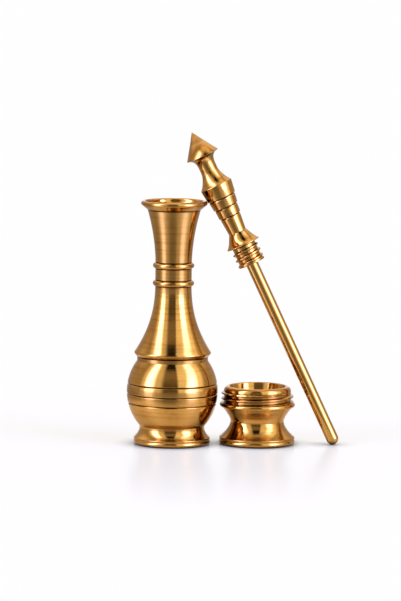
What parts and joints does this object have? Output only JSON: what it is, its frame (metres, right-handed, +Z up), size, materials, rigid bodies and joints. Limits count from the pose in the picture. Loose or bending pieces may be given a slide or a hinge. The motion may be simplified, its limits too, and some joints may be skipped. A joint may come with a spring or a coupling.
{
  "type": "kohl container",
  "caption": "Turned brass kohl bottle with a round bowl and flared mouth, its screw stopper with an applicator rod leaning on the rim, and a small threaded pot beside it.",
  "frame": {"origin": "centre of the bottle's base, on the table that all three loose pieces rest on", "axes": "+Z up along the bottle's axis; +X from the bottle towards the pot and the rod's tip; -Y towards the viewer of the picture"},
  "size_m": [0.0852, 0.0364, 0.125],
  "materials": {
    "bottle_neck": "polished",
    "bottle_bowl": "polished",
    "bottle_foot": "polished",
    "stopper_handle": "polished",
    "applicator_rod": "polished",
    "powder_pot": "polished"
  },
  "bodies": {
    "bottle": {"bottle_neck": "bottle_neck", "bottle_bowl": "bottle_bowl", "bottle_foot": "bottle_foot"},
    "stopper": {"stopper_handle": "stopper_handle", "applicator_rod": "applicator_rod"},
    "pot": {"powder_pot": "powder_pot"}
  },
  "joints": [
    {"name": "stopper_lift", "type": "slide", "parent": "bottle", "child": "stopper", "axis": [0, 0, 1], "range_m": [0, 0.1]},
    {"name": "pot_slide", "type": "slide", "parent": "bottle", "child": "pot", "axis": [0, -1, 0], "range_m": [0, 0.06]}
  ]
}
